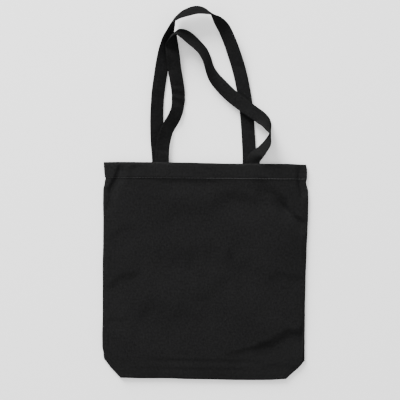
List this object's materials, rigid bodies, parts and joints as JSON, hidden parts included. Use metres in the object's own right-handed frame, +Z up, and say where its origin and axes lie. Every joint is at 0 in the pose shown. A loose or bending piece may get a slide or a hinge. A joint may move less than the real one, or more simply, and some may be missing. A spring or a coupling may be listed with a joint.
{
  "type": "canvas tote bag",
  "caption": "Flat canvas tote bag with a turned hem, boxed base tucked up inside and long shoulder straps, laid out front up.",
  "frame": {"origin": "middle of the back panel's outside, on the surface that the bag lies on", "axes": "+X across the bag, +Y from the base to the mouth and the straps, +Z up, out of the front panel"},
  "size_m": [0.38, 0.701, 0.0334],
  "materials": {
    "canvas": "matte woven canvas, black",
    "strap": "matte woven canvas strap, black",
    "thread": "black sewing thread, slight sheen"
  },
  "bodies": {
    "back": {"back_base_half": "canvas", "back_hem_thread": "thread", "back_hem_turn": "canvas", "back_left_strap_tail": "strap", "back_left_tack_thread": "thread", "back_panel": "canvas", "back_right_strap_tail": "strap", "back_right_tack_thread": "thread", "base_overlock_thread": "thread", "base_seam_allowance": "canvas", "base_seam_thread": "thread", "front_base_half": "canvas", "left_corner_thread": "thread", "left_corner_tuck": "canvas", "left_overlock_thread": "thread", "left_seam_allowance": "canvas", "left_seam_thread": "thread", "right_corner_thread": "thread", "right_corner_tuck": "canvas", "right_overlock_thread": "thread", "right_seam_allowance": "canvas", "right_seam_thread": "thread"},
    "front": {"front_panel": "canvas", "front_hem_turn": "canvas", "front_hem_thread": "thread", "front_left_strap_tail": "strap", "front_right_strap_tail": "strap", "front_left_tack_thread": "thread", "front_right_tack_thread": "thread"},
    "front_handle": {"front_strap": "strap"},
    "back_handle": {"back_strap": "strap"}
  },
  "joints": [
    {"name": "mouth_open", "type": "hinge", "parent": "back", "child": "front", "pos_m": [0, -0.2025, 0.0018], "axis": [1, 0, 0], "range_deg": [0, 9]},
    {"name": "front_handle_swing", "type": "hinge", "parent": "front", "child": "front_handle", "pos_m": [0, 0.2045, 0.0126], "axis": [1, 0, 0], "range_deg": [0, 140]},
    {"name": "back_handle_swing", "type": "hinge", "parent": "back", "child": "back_handle", "pos_m": [0, 0.2045, 0.0045], "axis": [1, 0, 0], "range_deg": [0, 70]}
  ],
  "couplings": [
    {"joint": "back_handle_swing", "follows": "front_handle_swing", "ratio": 0.5}
  ]
}
